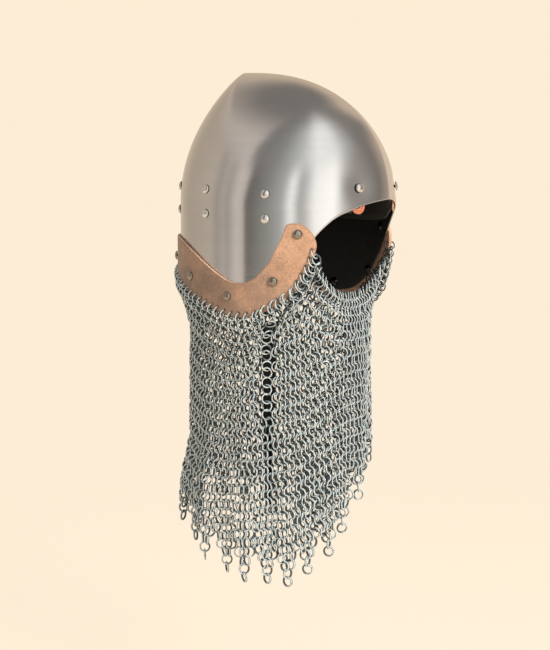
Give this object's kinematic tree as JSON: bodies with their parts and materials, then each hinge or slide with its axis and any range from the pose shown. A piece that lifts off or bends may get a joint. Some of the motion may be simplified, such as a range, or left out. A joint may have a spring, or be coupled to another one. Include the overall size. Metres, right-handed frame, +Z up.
{
  "type": "bascinet",
  "caption": "Open-faced steel bascinet with a keeled pointed skull, a riveted leather band, a hanging mail aventail with a dagged edge, and a laced leather liner.",
  "frame": {"origin": "the seat of the wearer's head: the middle of the liner's crown ring, at the underside of its hem", "axes": "+Z up, the wearer looks along -Y, and the wearer's right is at -X"},
  "size_m": [0.214, 0.2476, 0.5112],
  "materials": {
    "skull_steel": "satin, finely brushed outside and painted black inside",
    "mail_steel": "bright zinc-grey butted wire links",
    "band_leather": "natural vegetable-tanned, matt, with paler cut edges",
    "liner_leather": "brown suede side, matt",
    "tab_leather": "orange-tan, matt",
    "rivet_steel": "domed, hand-peened, slightly polished",
    "lace_cord": "waxed round cord"
  },
  "bodies": {
    "root": {"skull": "skull_steel", "aventail_band": "band_leather", "mail_aventail": "mail_steel", "liner": "liner_leather", "crown_lace": "lace_cord", "liner_tab_brow_right": "tab_leather", "liner_rivet_brow_upper_right": "rivet_steel", "liner_tab_temple_right": "tab_leather", "liner_rivet_temple_upper_right": "rivet_steel", "liner_rivet_temple_lower_right": "rivet_steel", "liner_tab_side_right": "tab_leather", "liner_rivet_side_upper_right": "rivet_steel", "liner_rivet_side_lower_right": "rivet_steel", "liner_tab_nape_right": "tab_leather", "liner_rivet_nape_upper_right": "rivet_steel", "liner_rivet_nape_lower_right": "rivet_steel", "band_rivet_1_right": "rivet_steel", "band_rivet_2_right": "rivet_steel", "band_rivet_3_right": "rivet_steel", "band_rivet_4_right": "rivet_steel", "band_rivet_5_right": "rivet_steel", "liner_tab_brow_left": "tab_leather", "liner_rivet_brow_upper_left": "rivet_steel", "liner_tab_temple_left": "tab_leather", "liner_rivet_temple_upper_left": "rivet_steel", "liner_rivet_temple_lower_left": "rivet_steel", "liner_tab_side_left": "tab_leather", "liner_rivet_side_upper_left": "rivet_steel", "liner_rivet_side_lower_left": "rivet_steel", "liner_tab_nape_left": "tab_leather", "liner_rivet_nape_upper_left": "rivet_steel", "liner_rivet_nape_lower_left": "rivet_steel", "band_rivet_1_left": "rivet_steel", "band_rivet_2_left": "rivet_steel", "band_rivet_3_left": "rivet_steel", "band_rivet_4_left": "rivet_steel", "band_rivet_5_left": "rivet_steel"}
  },
  "joints": []
}
